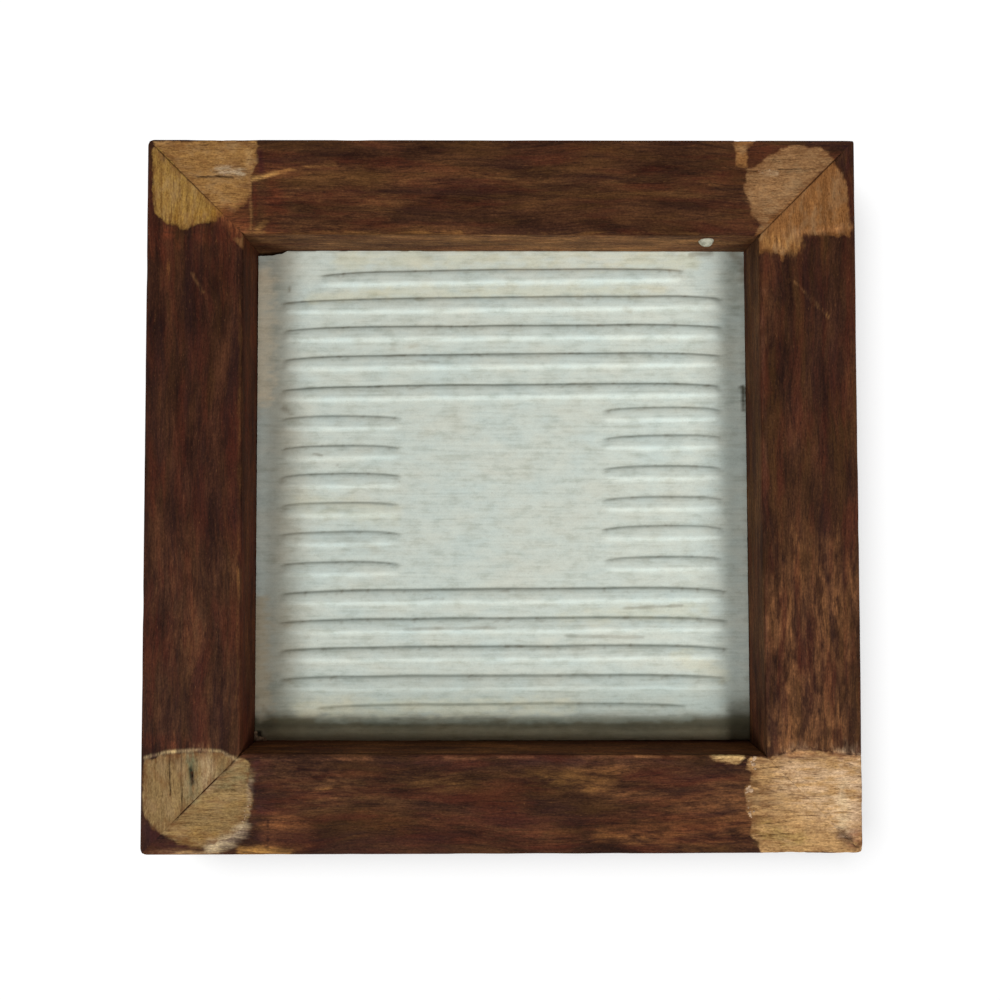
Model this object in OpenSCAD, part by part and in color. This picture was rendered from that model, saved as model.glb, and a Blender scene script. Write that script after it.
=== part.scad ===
// Square trivet: a pressed ceramic tile in a frame of four mitred hardwood rails.
// It lies on its face, as a tile is laid into its frame, so the ribbed back of the tile is up.
// X runs to the right, Y to the back rail, Z up. The origin is the centre of the face plane.

/* [Tile] */
// Side of the square tile
tile_side = 152.4; // [130:0.1:200]
// Thickness of the tile without its ribs
tile_t = 6.8; // [5:0.1:10]
// Rounding of the glazed face along its edges
tile_edge_r = 1.4; // [0.4:0.1:2.5]
// Length that the chipped corner has lost along its edge
chip_l = 9; // [2:0.5:20]
// Width that the chipped corner has lost at its widest
chip_w = 1.7; // [0.5:0.1:5]

/* [Ribs of the tile back] */
// Distance from one row of ribs to the next
rib_pitch = 9.04; // [7.5:0.02:14]
// Width of a rib at its foot
rib_w = 5.4; // [4:0.1:7]
// Height of a rib above the plain back
rib_h = 0.9; // [0.4:0.05:2]
// Width of the steep flank, on the side of the back rail
rib_steep_w = 0.9; // [0.2:0.1:1.5]
// Width of the soft flank, on the side of the front rail
rib_soft_w = 1.8; // [0.4:0.1:2.3]
// Length over which a rib narrows and sinks at each end
rib_taper_l = 11; // [3:0.5:14]
// Plain border beside the ends of the ribs
side_border = 7.6; // [3:0.1:20]
// Plain border before the first row and after the last one, up to the middle of the row
row_border = 8; // [5:0.1:20]
// How much further in the first and the last row stop
end_row_inset = 11.2; // [2:0.1:20]
// Width of the plain field in the middle
field_w = 62.4; // [20:0.2:70]
// Height of the plain field in the middle
field_h = 56; // [12:0.5:90]
// How much higher the short ribs sit on the right than on the left
pair_step = 1.3; // [0:0.1:3]
// Slant of all ribs to the tile's edge, in degrees
rib_tilt = 0.55; // [0:0.05:2]

/* [Rails] */
// Width of a rail, seen from the back
rail_w = 28.6; // [24:0.1:45]
// Height of a rail from the face to the back
rail_h = 25.4; // [20:0.1:40]
// Gap between the edge of the tile and the rail
tile_gap = 0.6; // [0.2:0.1:1.5]
// Width of the lip that carries the tile, from the rail's inner wall
lip_w = 6.2; // [5:0.1:10]
// Thickness of the lip
lip_t = 3; // [2:0.1:5]
// Rounding of the outer edge on the face
face_r = 4.8; // [1:0.1:8]
// Rounding of the lip's edge on the face
lip_r = 1.6; // [0.4:0.1:1.9]
// Easing of the long edges on the back
arris_r = 0.6; // [0.2:0.1:1.5]
// Rounding of the frame's four upright corners
corner_r = 2.2; // [0.5:0.1:5]

/* [Glue] */
// Thickness of the glue between the tile and the lip
glue_t = 0.4; // [0.2:0.05:1]
// Width of the glue
glue_w = 3; // [1.5:0.1:3.4]
// Width of the hardened drop on the inner wall of the back rail
drop_w = 4.6; // [2:0.1:8]
// How far the drop stands out from the wall
drop_out = 1.6; // [0.5:0.1:1.9]
// Distance of the drop from the middle of the back rail
drop_x = 62; // [0:0.5:70]
// Depth of the drop's middle below the back
drop_down = 5; // [4.5:0.1:8]

/* [Brads] */
// Thickness of a brad
brad_d = 1.2; // [0.8:0.1:2]
// Length of a brad
brad_l = 30; // [20:0.5:34]
// Width of a brad's head
head_d = 1.9; // [1.6:0.1:3]
// Thickness of the head
head_t = 0.8; // [0.4:0.1:1.5]
// Length of the point
point_l = 2; // [1:0.1:4]
// Depth of the head below the outer face of the rail
set_depth = 1.2; // [0.5:0.1:3]
// Distance of a brad from the outer face that it runs along
brad_inset = 8.4; // [6:0.1:12]
// Height of the lower brad above the face
brad_low = 8.5; // [7:0.1:9.5]
// Height of the upper brad above the face
brad_high = 16.5; // [14:0.1:17]

/* [Hidden] */

$fn = 48;

// One overrun for every cut, and how deep a rib is rooted in the tile.
over = tile_side / 100;
root = rib_h / 2;
// Free space around a brad in its bore and around its plug.
brad_fit = brad_d / 24;

opening = tile_side + 2 * tile_gap;
half = opening / 2 + rail_w;
tile_low = lip_t + glue_t;
tile_high = tile_low + tile_t;
frame_r = corner_r;

// Each corner: its place in X and Y, and whether its brads run along X, as they do where the crack of the
// split shows in the back or the front rail, or along Y, where it shows in a side rail.
corners = [[-1, 1, true], [1, 1, true], [1, -1, true], [-1, -1, false]];
brad_levels = [brad_low, brad_high];

// Rows of ribs, counted from the size of the tile.
rows = floor((tile_side - 2 * row_border) / rib_pitch) + 1;
rib_reach = tile_side / 2 - side_border;
taper_steps = 6;
// Half of a rib's width and height left at its very end.
end_width_share = 0.3;
end_height_share = 0.25;

wood_dark = "#4a2a20";
bisque = "#ccd5cd";
glue_white = "#e6e0cf";
steel_grey = "#9a9a9a";
putty_brown = "#3a241b";

function row_y(i) = ((rows - 1) / 2 - i) * rib_pitch;

// How much of the full width a rib has at a share of its taper: a quarter of a sine, so the ends look like
// those of a boat.
function taper(t) = end_width_share + (1 - end_width_share) * sin(90 * t);

// One edge of a rib in plan, from its left end to its right end.
function rib_side(l, side) = concat(
    [for (i = [0:taper_steps]) [
        -l / 2 + rib_taper_l * i / taper_steps,
        side * taper(i / taper_steps)]],
    [for (i = [taper_steps:-1:0]) [
        l / 2 - rib_taper_l * i / taper_steps,
        side * taper(i / taper_steps)]]);

function reversed(list) = [for (i = [len(list) - 1:-1:0]) list[i]];

// A square with round corners, made of true arcs.
module round_square(side, r) {
    difference() {
        square(side, center = true);
        for (a = [0, 90, 180, 270]) rotate(a) translate([side / 2 - r, side / 2 - r])
            difference() {
                square(r + over);
                circle(r);
            }
    }
}

// What a round edge takes off a corner of a profile. The corner is at the origin, and the profile is on the
// side of positive X and Y.
module edge_cut(r) {
    difference() {
        translate([-over, -over]) square(r + over);
        translate([r, r]) circle(r);
    }
}

// Section of a rail: X runs from the outer face to the recess, Y is the height above the face.
module rail_section() {
    difference() {
        union() {
            square([rail_w, rail_h]);
            square([rail_w + lip_w, lip_t]);
        }
        edge_cut(face_r);
        translate([rail_w + lip_w, 0]) mirror([1, 0]) edge_cut(lip_r);
        translate([0, rail_h]) mirror([0, 1]) edge_cut(arris_r);
        translate([rail_w, rail_h]) mirror([1, 0]) mirror([0, 1]) edge_cut(arris_r);
    }
}

// Plan of a rail at the side of positive Y: a mitre at each end, and round upright corners.
module rail_plan() {
    depth = rail_w + lip_w + over;
    intersection() {
        polygon([[-half, half], [half, half], [half - depth, half - depth], [depth - half, half - depth]]);
        round_square(2 * half, frame_r);
    }
}

// A rail at the side of positive Y, without its bores.
module rail_blank() {
    intersection() {
        translate([-half - over, half, 0]) rotate([90, 0, 90])
            linear_extrude(2 * (half + over)) mirror([1, 0]) rail_section();
        translate([0, 0, -over]) linear_extrude(rail_h + 2 * over) rail_plan();
    }
}

// Puts its children at the start of each brad: on the outer face, with X running along the brad.
module at_brads() {
    for (c = corners, z = brad_levels)
        if (c[2])
            translate([c[0] * half, c[1] * (half - brad_inset), z]) rotate(c[0] > 0 ? 180 : 0) children();
        else
            translate([c[0] * (half - brad_inset), c[1] * half, z]) rotate(c[1] > 0 ? -90 : 90) children();
}

module along_x() {
    rotate([0, 90, 0]) children();
}

// The hole that a brad leaves: wide down to the head, then as thin as the shank.
module brad_hole() {
    along_x() translate([0, 0, -over])
        cylinder(h = over + set_depth + head_t, r = head_d / 2 + brad_fit);
    along_x() cylinder(h = set_depth + brad_l + brad_fit, r = brad_d / 2 + brad_fit);
}

module rail(turn) {
    difference() {
        rotate(turn) rail_blank();
        at_brads() brad_hole();
    }
}

module rail_back() {
    color(wood_dark) rail(0);
}

module rail_front() {
    color(wood_dark) rail(180);
}

module rail_left() {
    color(wood_dark) rail(90);
}

module rail_right() {
    color(wood_dark) rail(-90);
}

// Section of the tile with round edges on its face, run along X.
module tile_bar() {
    translate([-tile_side / 2 - over, 0, 0]) rotate([90, 0, 90])
        linear_extrude(tile_side + 2 * over)
            difference() {
                translate([-tile_side / 2, 0]) square([tile_side, tile_t]);
                for (s = [0, 1]) mirror([s, 0]) translate([-tile_side / 2, 0]) edge_cut(tile_edge_r);
            }
}

// What is broken off the tile's corner at the left of the back rail.
module chip() {
    translate([-tile_side / 2, tile_side / 2, -over])
        linear_extrude(tile_t + rib_h + 2 * over)
            polygon([[-over, over], [chip_l, over], [chip_l, 0], [chip_l * 0.6, -chip_w], [0, -chip_w],
                     [-over, -chip_w]]);
}

// One rib, on the plane of the tile back: the section along it, its boat shaped plan, and its ends that
// sink into the back.
module rib(l) {
    end_h = rib_h * end_height_share;
    intersection() {
        translate([-l / 2, 0, 0]) rotate([90, 0, 90]) linear_extrude(l)
            polygon([[-rib_w / 2, -root], [rib_w / 2, -root], [rib_w / 2, 0],
                     [rib_w / 2 - rib_steep_w, rib_h], [rib_soft_w - rib_w / 2, rib_h], [-rib_w / 2, 0]]);
        translate([0, rib_w, 0]) rotate([90, 0, 0]) linear_extrude(2 * rib_w)
            polygon([[-l / 2, -root], [l / 2, -root], [l / 2, end_h], [l / 2 - rib_taper_l, rib_h],
                     [rib_taper_l - l / 2, rib_h], [-l / 2, end_h]]);
        translate([0, 0, -root]) linear_extrude(root + rib_h)
            polygon(concat(rib_side(l, -rib_w / 2), reversed(rib_side(l, rib_w / 2))));
    }
}

// All rows: the first and the last one shorter, the middle ones in pairs beside the plain field.
module ribs() {
    short_l = rib_reach - field_w / 2;
    for (i = [0:rows - 1]) translate([0, row_y(i), 0])
        if (abs(row_y(i)) < field_h / 2)
            for (s = [-1, 1]) translate([s * (field_w + short_l) / 2, s * pair_step / 2, 0]) rib(short_l);
        else
            rib(2 * (rib_reach - (i == 0 || i == rows - 1 ? end_row_inset : 0)));
}

module tile() {
    color(bisque) translate([0, 0, tile_low]) difference() {
        union() {
            intersection() {
                tile_bar();
                rotate(90) tile_bar();
            }
            translate([0, 0, tile_t]) rotate(rib_tilt) ribs();
        }
        chip();
    }
}

// A closed bead between the flat of the tile's face and the lip.
module tile_adhesive() {
    outer = tile_side - 2 * tile_edge_r;
    color(glue_white) translate([0, 0, lip_t]) linear_extrude(glue_t) difference() {
        square(outer, center = true);
        square(outer - 2 * glue_w, center = true);
    }
}

// A cap of a ball that sits on the wall of the back rail and stands out into the recess.
module glue_drop() {
    ball_r = (pow(drop_w / 2, 2) + pow(drop_out, 2)) / (2 * drop_out);
    color(glue_white) translate([drop_x, opening / 2, rail_h - drop_down])
        rotate([90, 0, 0]) intersection() {
            translate([0, 0, drop_out - ball_r]) sphere(ball_r);
            cylinder(h = ball_r, r = drop_w);
        }
}

module mitre_brads() {
    color(steel_grey) at_brads() along_x() translate([0, 0, set_depth]) {
        cylinder(h = head_t, r = head_d / 2);
        cylinder(h = brad_l - point_l, r = brad_d / 2);
        translate([0, 0, brad_l - point_l]) cylinder(h = point_l, r1 = brad_d / 2, r2 = brad_d / 8);
    }
}

// The filler over each head, flush with the outer face of the rail.
module brad_putty() {
    color(putty_brown) at_brads() along_x() cylinder(h = set_depth, r = head_d / 2);
}

rail_back();
rail_front();
rail_left();
rail_right();
tile();
tile_adhesive();
glue_drop();
mitre_brads();
brad_putty();
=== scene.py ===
"""A square trivet that lies on its face: four mitred hardwood rails round a pressed ceramic tile.

Sizes and places are in millimetres, in the frame of the CAD model: X to the right, Y to the back rail, Z up.
MM turns them into metres when a mesh is made. Rails are made in a frame of their own, where x runs along the
rail, u from its outer face to the recess, and z up.
"""

import math

import bpy
import numpy as np
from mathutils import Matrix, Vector
from mathutils.geometry import tessellate_polygon


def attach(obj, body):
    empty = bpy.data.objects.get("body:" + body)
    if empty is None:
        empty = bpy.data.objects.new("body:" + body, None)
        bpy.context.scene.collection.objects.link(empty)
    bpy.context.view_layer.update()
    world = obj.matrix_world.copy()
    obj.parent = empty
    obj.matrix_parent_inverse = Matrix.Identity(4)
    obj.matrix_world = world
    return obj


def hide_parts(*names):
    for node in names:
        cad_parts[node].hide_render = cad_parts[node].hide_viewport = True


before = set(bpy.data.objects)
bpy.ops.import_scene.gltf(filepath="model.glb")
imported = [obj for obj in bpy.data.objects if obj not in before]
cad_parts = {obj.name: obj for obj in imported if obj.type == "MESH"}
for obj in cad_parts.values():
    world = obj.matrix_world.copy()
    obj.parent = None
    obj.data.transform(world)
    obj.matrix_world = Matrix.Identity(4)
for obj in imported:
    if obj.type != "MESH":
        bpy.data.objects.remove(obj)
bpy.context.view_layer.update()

MM = 0.001
WOOD_SPECULAR = 0.04

# The part's own sizes, as in the CAD model.
TILE_SIDE, TILE_T, TILE_EDGE_R = 152.4, 6.8, 1.4
RAIL_W, RAIL_H, TILE_GAP = 28.6, 25.4, 0.6
LIP_W, LIP_T, LIP_R = 6.2, 3.0, 1.6
FACE_R, ARRIS_R, CORNER_R = 4.8, 0.6, 2.2
SHARP_CORNER_R = 1.1  # at the right back corner
GLUE_T = 0.4
DROP_X, DROP_DOWN, DROP_W, DROP_OUT = 62.0, 5.0, 4.6, 1.6
OPENING_HALF = TILE_SIDE / 2 + TILE_GAP
HALF = OPENING_HALF + RAIL_W
TILE_LOW = LIP_T + GLUE_T
TILE_HALF = TILE_SIDE / 2
GLAZE_T = 0.35  # a shell of its own here, and part of the tile in the CAD model
BACK_PLANE = TILE_LOW + TILE_T


def linear(colour):
    """An sRGB colour of 0 to 255 as Blender's linear one, with alpha 1."""
    c = np.array(colour, float) / 255
    c = np.where(c <= 0.04045, c / 12.92, ((c + 0.055) / 1.055) ** 2.4)
    return (*c.tolist(), 1.0)


def covered(tone, colour, share):
    """The tones of all points, with so much of a colour laid over each."""
    share = np.clip(share, 0, 1)[:, None]
    return tone * (1 - share) + np.array(linear(colour)) * share


def smooth(value, low, high):
    """0 below low, 1 above high and a smooth step between."""
    t = np.clip((value - low) / (high - low), 0, 1)
    return t * t * (3 - 2 * t)


def bell(distance, width):
    """1 at no distance, and falling off over a width."""
    return np.exp(-((distance / width) ** 2))


def noise(x, y, seed):
    """Smooth random hills and dips between -1 and 1, about one to a unit."""
    side = 64
    table = np.random.default_rng(seed).uniform(-1, 1, (side, side))
    ix, iy = np.floor(x).astype(int), np.floor(y).astype(int)
    fx, fy = x - ix, y - iy
    fx, fy = fx * fx * (3 - 2 * fx), fy * fy * (3 - 2 * fy)

    def at(i, j):
        return table[(ix + i) % side, (iy + j) % side]

    low = at(0, 0) * (1 - fx) + at(1, 0) * fx
    high = at(0, 1) * (1 - fx) + at(1, 1) * fx
    return low * (1 - fy) + high * fy


def layered_noise(x, y, seed, layers=3):
    """noise() with finer and weaker layers on top."""
    total = sum(noise(x * 2**k, y * 2**k, seed + k) / 2**k for k in range(layers))
    return total / (2 - 2 ** (1 - layers))


def pairs(numbers):
    """The points in a row x, y, x, y and so on."""
    return list(zip(numbers[::2], numbers[1::2]))


def distance_to_line(x, y, points):
    """Distance from the points x, y to a line through points."""
    nearest = np.full(np.shape(x), np.inf)
    for (ax, ay), (bx, by) in zip(points, points[1:]):
        dx, dy = bx - ax, by - ay
        t = np.clip(((x - ax) * dx + (y - ay) * dy) / (dx * dx + dy * dy + 1e-9), 0, 1)
        nearest = np.minimum(nearest, np.hypot(x - ax - t * dx, y - ay - t * dy))
    return nearest


def depth_inside(x, y, outline):
    """Distance from the points x, y to a closed outline, positive within it."""
    within = np.zeros(np.shape(x), bool)
    for (ax, ay), (bx, by) in zip(outline, outline[1:] + outline[:1]):
        if ay != by:
            within ^= ((ay > y) != (by > y)) & (x < ax + (y - ay) * (bx - ax) / (by - ay))
    edge = distance_to_line(x, y, outline + outline[:1])
    return np.where(within, edge, -edge)


def arc(cx, cy, r, start, end, steps):
    """Points on an arc, with the angles in degrees."""
    turn = np.radians(np.linspace(start, end, steps + 1))
    return [(cx + r * math.cos(a), cy + r * math.sin(a)) for a in turn]


def run(start, end, step):
    """Points from start to end, both left out, about a step apart."""
    count = max(1, round(math.dist(start, end) / step))
    return [tuple(np.array(start) + (np.array(end) - np.array(start)) * k / count) for k in range(1, count)]


def grid_faces(rows, columns, closed=False):
    """Quads between rows of points. A closed grid also joins the last point of each row to its first."""
    i = np.arange(rows - 1)[:, None] * columns
    j = np.arange(columns if closed else columns - 1)[None, :]
    k = (j + 1) % columns
    return np.stack([i + j, i + k, i + columns + k, i + columns + j], -1).reshape(-1, 4).tolist()


def rim_of(rows, columns):
    """The points round the edge of a grid, in order."""
    index = np.arange(rows * columns).reshape(rows, columns)
    return np.concatenate([index[0, :-1], index[:-1, -1], index[-1, :0:-1], index[:0:-1, 0]])


def volume(points, faces):
    """Volume in the faces, negative where they face inward."""
    total = 0.0
    for size in {len(f) for f in faces}:
        corners = points[np.array([f for f in faces if len(f) == size])]
        for k in range(1, size - 1):
            total += np.einsum("ij,ij", corners[:, 0], np.cross(corners[:, k], corners[:, k + 1]))
    return total / 6


def add_object(name, data):
    """A new object in the scene."""
    made = bpy.data.objects.new(name, data)
    bpy.context.scene.collection.objects.link(made)
    return made


def add_piece(name, points, faces, material, slot, replaced=(), sharp=60, **attributes):
    """Makes a mesh that rides on the only body. Attributes are arrays with one row for each point."""
    points = np.asarray(points, float)
    if volume(points, faces) < 0:
        faces = [f[::-1] for f in faces]
    mesh = bpy.data.meshes.new(name)
    mesh.from_pydata((points * MM).tolist(), [], faces)
    for key, values in attributes.items():
        kinds = {1: ("FLOAT", "value"), 3: ("FLOAT_VECTOR", "vector"), 4: ("FLOAT_COLOR", "color")}
        kind, field = kinds[values.size // len(points)]
        layer = mesh.attributes.new(key, kind, "POINT")
        layer.data.foreach_set(field, values.astype(np.float32).ravel())
    mesh.materials.append(material)
    mesh.shade_smooth()
    mesh.set_sharp_from_angle(angle=math.radians(sharp))
    piece = add_object(name, mesh)
    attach(piece, "root")
    if replaced:
        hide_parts(*replaced)
    return piece


class Shader:
    """The nodes of a new material or world, with short calls for the kinds used here."""

    def __init__(self, name, kind="materials"):
        self.owner = getattr(bpy.data, kind).new(name)
        self.owner.use_nodes = True
        self.tree = self.owner.node_tree
        self.tree.nodes.clear()

    def add(self, kind, inputs=(), **settings):
        """A new node, with each input set to a value or fed by a socket."""
        node = self.tree.nodes.new("ShaderNode" + kind)
        for key, value in settings.items():
            setattr(node, key, value)
        for key, value in dict(inputs).items():
            if isinstance(value, bpy.types.NodeSocket):
                self.tree.links.new(value, node.inputs[key])
            else:
                node.inputs[key].default_value = value
        return node

    def attribute(self, name, output="Vector"):
        return self.add("Attribute", attribute_name=name).outputs[output]

    def place(self):
        """Place on the object, in millimetres."""
        return self.stretch(self.add("TexCoord").outputs["Object"], 1 / MM)

    def stretch(self, vector, scale, shift=(0, 0, 0)):
        scale = scale if isinstance(scale, tuple) else (scale, scale, scale)
        return self.add("Mapping", {"Vector": vector, "Scale": scale, "Location": shift}).outputs[0]

    def noise(self, vector, scale, detail=3.0, roughness=0.55, shift=(0, 0, 0), distortion=0.0):
        """Noise of so many hills to a unit of the vector."""
        inputs = {"Vector": self.stretch(vector, scale, shift), "Scale": 1.0, "Detail": detail,
                  "Roughness": roughness, "Distortion": distortion}
        return self.add("TexNoise", inputs).outputs["Fac"]

    def range(self, value, low, high, to_low=0.0, to_high=1.0):
        inputs = {"Value": value, "From Min": low, "From Max": high, "To Min": to_low, "To Max": to_high}
        return self.add("MapRange", inputs).outputs[0]

    def math(self, operation, a, b=0.0):
        return self.add("Math", {0: a, 1: b}, operation=operation).outputs[0]

    def total(self, *terms):
        """The sum of values, each times its share."""
        parts = [self.math("MULTIPLY", value, share) for value, share in terms]
        while len(parts) > 1:
            parts[:2] = [self.math("ADD", *parts[:2])]
        return parts[0]

    def mix(self, share, a, b, blend="MIX"):
        return self.add("Mix", {0: share, 6: a, 7: b}, data_type="RGBA", blend_type=blend).outputs[2]

    def scaled(self, colour, factor):
        """Colour times a number from a node."""
        return self.add("VectorMath", {0: colour, 3: factor}, operation="SCALE").outputs[0]

    def ramp(self, value, low, high, *colours):
        """sRGB colours in even steps, as the value rises from low to high."""
        node = self.add("ValToRGB", {"Fac": self.range(value, low, high)})
        stops = node.color_ramp.elements
        while len(stops) < len(colours):
            stops.new(1.0)
        for k, (stop, colour) in enumerate(zip(stops, colours)):
            stop.position = k / (len(colours) - 1)
            stop.color = linear(colour)
        return node.outputs["Color"]

    def bump(self, height, depth):
        """A bump whose height of 1 stands for depth millimetres."""
        return self.add("Bump", {"Height": height, "Distance": depth * MM, "Strength": 1.0}).outputs[0]

    def finish(self, colour, **sockets):
        """Ends the material in a Principled shader. Names have _ for the spaces of its sockets."""
        inputs = {key.replace("_", " "): value for key, value in sockets.items()}
        shader = self.add("BsdfPrincipled", {"Base Color": colour, **inputs})
        self.add("OutputMaterial", {"Surface": shader.outputs[0]})
        return self.owner


def wood_material():
    """Stained hardwood, with bare and torn wood where the attribute "bare" is above 0."""
    s = Shader("stained_hardwood")
    grain = s.attribute("grain")
    bare = s.attribute("bare", "Fac")

    def grown(vector, along, across, shift=(0, 0, 0), detail=5, roughness=0.6, distortion=0):
        """Noise drawn out along the grain."""
        return s.noise(vector, (along, across, across), detail, roughness, shift, distortion)

    def tinted(colour, *layers):
        """Lays tints over a colour: each is strongest where its noise is above high, and ends below low."""
        for tint, most, low, high, *place in layers:
            colour = s.mix(s.range(grown(*place), low, high, 0, most), colour, linear(tint))
        return colour

    # The grain wanders a little across the rail.
    wander = grown(grain, 0.018, 0.05, detail=2, roughness=0.55)
    shift = s.add("CombineXYZ", {"Y": s.range(wander, 0, 1, -4, 4)}).outputs[0]
    line = s.add("VectorMath", {0: grain, 1: shift}, operation="ADD").outputs[0]

    blotches = grown(line, 0.035, 0.16, roughness=0.55)
    streaks = grown(line, 0.09, 1, detail=6, roughness=0.66, distortion=0.4)
    flecks = grown(line, 0.9, 2.4, (5, 9, 2), 4, 0.7)
    fibres = grown(line, 0.25, 4.6, detail=4)
    pore = s.range(grown(line, 0.3, 6.5, (40, 7, 3), 2, 0.5), 0.6, 0.68)
    pepper = grown(grain, 1.3, 1.9, (13, 2, 7), 4, 0.7)

    # Stained wood: a gain from violet brown through the stain itself to golden brown.
    value = s.total((blotches, 0.46), (streaks, 0.33), (flecks, 0.21))
    gain = s.ramp(value, 0.39, 0.61, (102, 94, 106), (174, 174, 174), (246, 247, 232))
    stained = s.mix(1, s.scaled(s.attribute("finish_tone", "Color"), 2.3), gain, "MULTIPLY")
    gold = s.range(grown(line, 0.03, 0.15, (21, 4, 8)), 0.48, 0.66, 0, 0.5)
    stained = s.mix(s.math("MULTIPLY", gold, s.attribute("golden", "Fac")), stained, linear((104, 70, 36)))
    stained = tinted(
        stained, ((94, 44, 30), 0.4, 0.48, 0.64, line, 0.035, 0.2, (9, 9, 9)),
        ((46, 26, 24), 0.5, 0.52, 0.66, line, 0.03, 0.24, (6, 19, 3)))
    stained = s.mix(s.math("MULTIPLY", pore, 0.42), stained, linear((36, 20, 16)))
    vein = s.math("SUBTRACT", grown(line, 0.045, 0.8, (60, 30, 20), 3, 0.5), 0.5)
    vein = s.range(s.math("ABSOLUTE", vein), 0, 0.03, 0.85, 0)
    vein = s.math("MULTIPLY", vein, s.range(flecks, 0.36, 0.56))
    stained = s.mix(vein, stained, linear((38, 22, 18)))
    stained = tinted(stained, ((134, 92, 56), 0.5, 0.6, 0.74, line, 0.5, 2.4, (3, 31, 5), 5, 0.7))
    stained = s.scaled(stained, s.range(pepper, 0.3, 0.7, 0.68, 1.32))

    # Bare wood: paler fibres, torn and dirty ones, and stain that is left near the rim.
    value = s.total((streaks, 0.3), (flecks, 0.3), (pepper, 0.4))
    gain = s.ramp(value, 0.38, 0.62, (134, 125, 116), (176, 176, 176), (209, 211, 206))
    raw = s.mix(1, s.scaled(s.attribute("bare_tone", "Color"), 2.45), gain, "MULTIPLY")
    raw = tinted(
        raw, ((176, 146, 108), 0.32, 0.48, 0.66, grain, 0.16, 0.3, (4, 17, 6), 5, 0.65),
        ((118, 76, 42), 0.38, 0.5, 0.66, grain, 0.2, 0.34, (31, 5, 16), 5, 0.65),
        ((92, 60, 36), 0.6, 0.62, 0.7, line, 0.12, 1.7, (70, 11, 2), 3, 0.55),
        ((66, 42, 28), 0.7, 0.66, 0.72, line, 1.2, 2.4, (15, 3, 9), 3))
    rest = s.range(grown(line, 0.2, 0.7, (2, 8, 33), 5, 0.65), 0.46, 0.6)
    rest = s.math("MULTIPLY", rest, s.range(bare, 0, 3.2, 0.75, 0))
    raw = s.mix(rest, raw, linear((104, 64, 36)))

    # The stain's edge is torn along the fibres.
    ragged = s.range(grown(grain, 0.5, 0.7, roughness=0.65), 0.25, 0.75, -0.5, 0.5)
    opened = s.range(s.math("ADD", bare, ragged), -0.3, 0.45)
    colour = s.mix(opened, stained, raw)

    relief = s.total((streaks, 0.6), (fibres, 0.5), (pore, -0.6))
    relief = s.math("MULTIPLY", relief, s.range(opened, 0, 1, 1, 2.4))
    dull = s.range(opened, 0, 1, s.range(streaks, 0.3, 0.7, 0.55, 0.72), 0.92)
    return s.finish(colour, Roughness=dull, Specular_IOR_Level=WOOD_SPECULAR, Normal=s.bump(relief, 0.07))


def bisque_material():
    """The unglazed back of the tile: a pale, slightly greenish body with ground-in dirt, over the tone
    attribute, which carries painted highlights and shade as well as dirt.
    """
    s = Shader("unglazed_ceramic")
    place = s.place()
    cloud = s.noise(place, (0.06, 0.12, 0.05), 5, 0.62)
    patches = s.noise(place, (0.16, 0.3, 0.1), 5, 0.65, (8, 3, 5))
    pressed = s.noise(place, (0.06, 1.2, 0.1), 4, 0.6)
    tint = s.ramp(cloud, 0.34, 0.66, (242, 247, 246), (247, 248, 244), (250, 247, 240))
    worn = s.total((patches, 1.3), (pressed, 0.7))
    shade = s.ramp(worn, 0.74, 1.26, (226, 226, 223), (247, 247, 247), (255, 255, 255))
    colour = s.mix(1, s.attribute("tone", "Color"), s.mix(1, tint, shade, "MULTIPLY"), "MULTIPLY")
    colour = s.scaled(colour, 1.14)
    speck = s.range(s.noise(place, 0.9, 4, 0.7), 0.66, 0.74, 0, 0.4)
    colour = s.mix(speck, colour, linear((150, 140, 118)))
    fine = s.range(s.noise(place, 2.4, 4, 0.7, (3, 5, 7)), 0.3, 0.7, 0.93, 1.07)
    colour = s.scaled(colour, fine)
    grit = s.noise(place, 5, 3, 0.7)
    relief = s.bump(s.total((grit, 0.5), (pressed, 1)), 0.05)
    return s.finish(colour, Roughness=0.92, Specular_IOR_Level=0.1, Normal=relief)


def glaze_material():
    """A warm cream glaze with fine crazing."""
    s = Shader("crackle_glaze")
    place = s.place()
    cracks = s.add("TexVoronoi", {"Vector": s.stretch(place, 0.16), "Scale": 1},
                   feature="DISTANCE_TO_EDGE", voronoi_dimensions="2D").outputs["Distance"]
    line = s.range(cracks, 0.004, 0.02, 0.55, 0)
    cloud = s.noise(place, 0.03, 3)
    base = s.ramp(cloud, 0.3, 0.7, (226, 216, 192), (238, 231, 212))
    wave = s.noise(place, 0.12, 2)
    colour = s.mix(line, base, linear((150, 128, 96)))
    return s.finish(colour, Roughness=0.12, Coat_Weight=0.6, Coat_Roughness=0.05, Normal=s.bump(wave, 0.12))


def glue_material(name, low, high, specular):
    """Hardened glue: milky, a little yellow, with dust on it."""
    s = Shader(name)
    place = s.place()
    cloud = s.noise(place, 0.8, 4)
    dust = s.noise(place, 5, 3)
    base = s.ramp(cloud, 0.3, 0.62, low, high)
    return s.finish(
        s.mix(s.range(dust, 0.6, 0.72, 0, 0.4), base, linear((120, 100, 76))),
        Roughness=s.range(dust, 0.3, 0.7, 0.6, 0.85),
        Specular_IOR_Level=specular,
        Subsurface_Weight=0.1,
        Subsurface_Radius=(0.0008, 0.0007, 0.0005),
        Normal=s.bump(cloud, 0.15),
    )


def steel_material():
    """Drawn wire, bright, with fine rings."""
    s = Shader("bright_steel")
    rings = s.noise(s.place(), (0.6, 6, 6), 3)
    colour = s.ramp(rings, 0.3, 0.7, (140, 138, 134), (186, 184, 180))
    return s.finish(colour, Metallic=1, Roughness=s.range(rings, 0.3, 0.7, 0.28, 0.45))


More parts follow.
